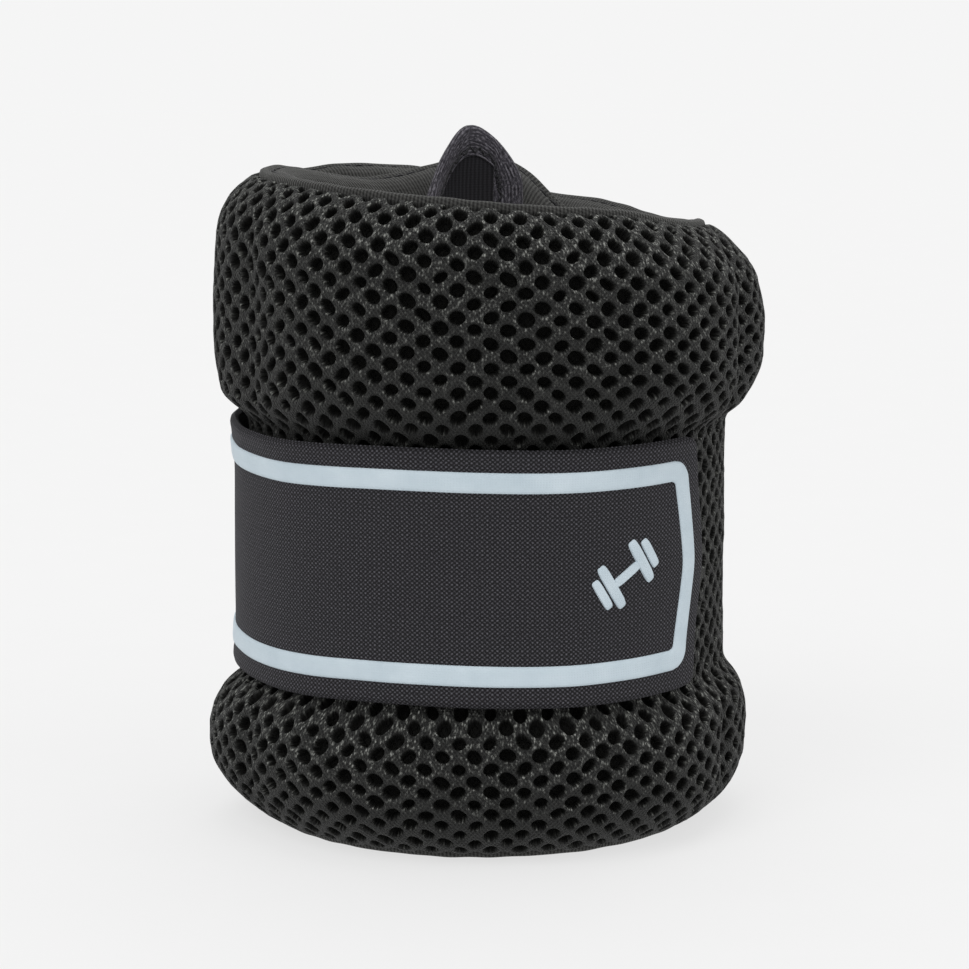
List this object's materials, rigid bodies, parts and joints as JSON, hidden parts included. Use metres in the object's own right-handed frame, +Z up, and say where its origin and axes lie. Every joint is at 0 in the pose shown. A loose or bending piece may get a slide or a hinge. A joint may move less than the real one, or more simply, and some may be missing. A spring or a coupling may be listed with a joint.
{
  "type": "ankle cuff weight",
  "caption": "Soft rolled wrist or ankle weight: a padded mesh band with shot-filled pouches, a hook strap round its waist and a fabric tongue inside.",
  "frame": {"origin": "on the roll's axis, in the plane of the edge it stands on", "axes": "+Z up along the roll's axis; -Y is the front, where the strap's tip closes; +X is to the right, seen from the front"},
  "size_m": [0.1016, 0.102, 0.1379],
  "materials": {
    "mesh": "black 3D spacer mesh of polyester yarn, staggered round holes, fine yarn glints",
    "liner": "near-black jersey-faced neoprene, smooth, with fine knit ribs",
    "pouch": "black plain-weave nylon bag",
    "shot": "dull grey steel shot, loose fill of small balls",
    "foam": "dark grey open-cell foam",
    "webbing": "slate-charcoal woven elastic webbing, fine cross ribs",
    "fold": "black woven tape, folded and sewn",
    "print": "pale ice-blue printed film, matte",
    "hook": "black hook tape with rows of small nylon hooks",
    "thread": "black polyester sewing thread",
    "tongue": "black knit-faced neoprene sheet with fine ribs",
    "hem": "melange purple-grey stretch binding with zigzag stitch"
  },
  "bodies": {
    "segment_4": {"mesh_cover_4": "mesh", "liner_4": "liner", "shot_pouch_4": "pouch", "steel_shot_4": "shot"},
    "segment_1": {"mesh_cover_1": "mesh", "liner_1": "liner", "foam_pad_1": "foam", "strap_anchor": "webbing", "strap_fold": "fold", "strap_stitching": "thread", "border_anchor": "print"},
    "segment_2": {"mesh_cover_2": "mesh", "liner_2": "liner", "shot_pouch_2": "pouch", "steel_shot_2": "shot"},
    "segment_3": {"mesh_cover_3": "mesh", "liner_3": "liner", "shot_pouch_3": "pouch", "steel_shot_3": "shot"},
    "segment_5": {"mesh_cover_5": "mesh", "liner_5": "liner", "shot_pouch_5": "pouch", "steel_shot_5": "shot"},
    "segment_6": {"mesh_cover_6": "mesh", "liner_6": "liner", "shot_pouch_6": "pouch", "steel_shot_6": "shot"},
    "segment_7": {"mesh_cover_7": "mesh", "liner_7": "liner", "shot_pouch_7": "pouch", "steel_shot_7": "shot"},
    "segment_8": {"mesh_cover_8": "mesh", "liner_8": "liner", "foam_pad_8": "foam"},
    "strap_1": {"strap_web_1": "webbing", "border_1": "print"},
    "strap_2": {"strap_web_2": "webbing", "border_2": "print"},
    "strap_3": {"strap_web_3": "webbing", "border_3": "print"},
    "strap_4": {"strap_web_4": "webbing", "border_4": "print", "hook_tape_4": "hook"},
    "strap_end": {"strap_tip": "webbing", "border_tip": "print", "hook_tape_tip": "hook", "dumbbell_print": "print"},
    "tongue_1": {"tongue_panel_1": "tongue", "tongue_hem_1": "hem"},
    "tongue_2": {"tongue_panel_2": "tongue", "tongue_hem_2": "hem"},
    "tongue_3": {"tongue_panel_3": "tongue", "tongue_hem_3": "hem"},
    "tongue_4": {"tongue_panel_4": "tongue", "tongue_hem_4": "hem"}
  },
  "joints": [
    {"name": "cuff_open", "type": "hinge", "parent": "segment_4", "child": "segment_5", "pos_m": [0.00445, -0.05081, 0.0635], "axis": [0, 0, 1], "range_deg": [0, 54]},
    {"name": "channel_5", "type": "hinge", "parent": "segment_5", "child": "segment_6", "pos_m": [-0.04372, -0.02627, 0.0635], "axis": [0, 0, 1], "range_deg": [0, 54]},
    {"name": "channel_6", "type": "hinge", "parent": "segment_6", "child": "segment_7", "pos_m": [-0.03512, 0.02281, 0.0635], "axis": [0, 0, 1], "range_deg": [0, 54]},
    {"name": "channel_7", "type": "hinge", "parent": "segment_7", "child": "segment_8", "pos_m": [0.00422, 0.03434, 0.0635], "axis": [0, 0, 1], "range_deg": [0, 54]},
    {"name": "channel_3", "type": "hinge", "parent": "segment_4", "child": "segment_3", "pos_m": [0.04761, -0.01828, 0.0635], "axis": [0, 0, -1], "range_deg": [0, 54]},
    {"name": "channel_2", "type": "hinge", "parent": "segment_3", "child": "segment_2", "pos_m": [0.0373, 0.03478, 0.0635], "axis": [0, 0, -1], "range_deg": [0, 54]},
    {"name": "channel_1", "type": "hinge", "parent": "segment_2", "child": "segment_1", "pos_m": [-0.01491, 0.04877, 0.0635], "axis": [0, 0, -1], "range_deg": [0, 54]},
    {"name": "strap_unwind_1", "type": "hinge", "parent": "segment_1", "child": "strap_1", "pos_m": [-0.04858, 0.01485, 0.0635], "axis": [0, 0, -1], "range_deg": [0, 37]},
    {"name": "strap_unwind_2", "type": "hinge", "parent": "strap_1", "child": "strap_2", "pos_m": [-0.04857, -0.01301, 0.0635], "axis": [0, 0, -1], "range_deg": [0, 37]},
    {"name": "strap_unwind_3", "type": "hinge", "parent": "strap_2", "child": "strap_3", "pos_m": [-0.0341, -0.03657, 0.0635], "axis": [0, 0, -1], "range_deg": [0, 37]},
    {"name": "strap_unwind_4", "type": "hinge", "parent": "strap_3", "child": "strap_4", "pos_m": [-0.00954, -0.04908, 0.0635], "axis": [0, 0, -1], "range_deg": [0, 37]},
    {"name": "tab_peel", "type": "hinge", "parent": "strap_4", "child": "strap_end", "pos_m": [0.01792, -0.04668, 0.0635], "axis": [0, 0, -1], "range_deg": [0, 80]},
    {"name": "tongue_uncurl_1", "type": "hinge", "parent": "segment_8", "child": "tongue_1", "pos_m": [0.03046, 0.01231, 0.08], "axis": [0, 0, 1], "range_deg": [0, 30]},
    {"name": "tongue_uncurl_2", "type": "hinge", "parent": "tongue_1", "child": "tongue_2", "pos_m": [0.029, -0.01542, 0.08], "axis": [0, 0, 1], "range_deg": [0, 32]},
    {"name": "tongue_uncurl_3", "type": "hinge", "parent": "tongue_2", "child": "tongue_3", "pos_m": [-0.00041, -0.03127, 0.08], "axis": [0, 0, 1], "range_deg": [0, 48]},
    {"name": "tongue_uncurl_4", "type": "hinge", "parent": "tongue_3", "child": "tongue_4", "pos_m": [-0.01388, -0.01053, 0.08], "axis": [0, 0, 1], "range_deg": [0, 58]}
  ],
  "couplings": [
    {"joint": "channel_5", "follows": "cuff_open", "ratio": 1},
    {"joint": "channel_6", "follows": "cuff_open", "ratio": 1},
    {"joint": "channel_7", "follows": "cuff_open", "ratio": 1},
    {"joint": "channel_3", "follows": "cuff_open", "ratio": 1},
    {"joint": "channel_2", "follows": "cuff_open", "ratio": 1},
    {"joint": "channel_1", "follows": "cuff_open", "ratio": 1},
    {"joint": "strap_unwind_1", "follows": "cuff_open", "ratio": 0.68518},
    {"joint": "strap_unwind_2", "follows": "cuff_open", "ratio": 0.68518},
    {"joint": "strap_unwind_3", "follows": "cuff_open", "ratio": 0.68518},
    {"joint": "strap_unwind_4", "follows": "cuff_open", "ratio": 0.68518},
    {"joint": "tongue_uncurl_1", "follows": "cuff_open", "ratio": 0.55556},
    {"joint": "tongue_uncurl_2", "follows": "cuff_open", "ratio": 0.59259},
    {"joint": "tongue_uncurl_3", "follows": "cuff_open", "ratio": 0.88889},
    {"joint": "tongue_uncurl_4", "follows": "cuff_open", "ratio": 1.0741}
  ]
}
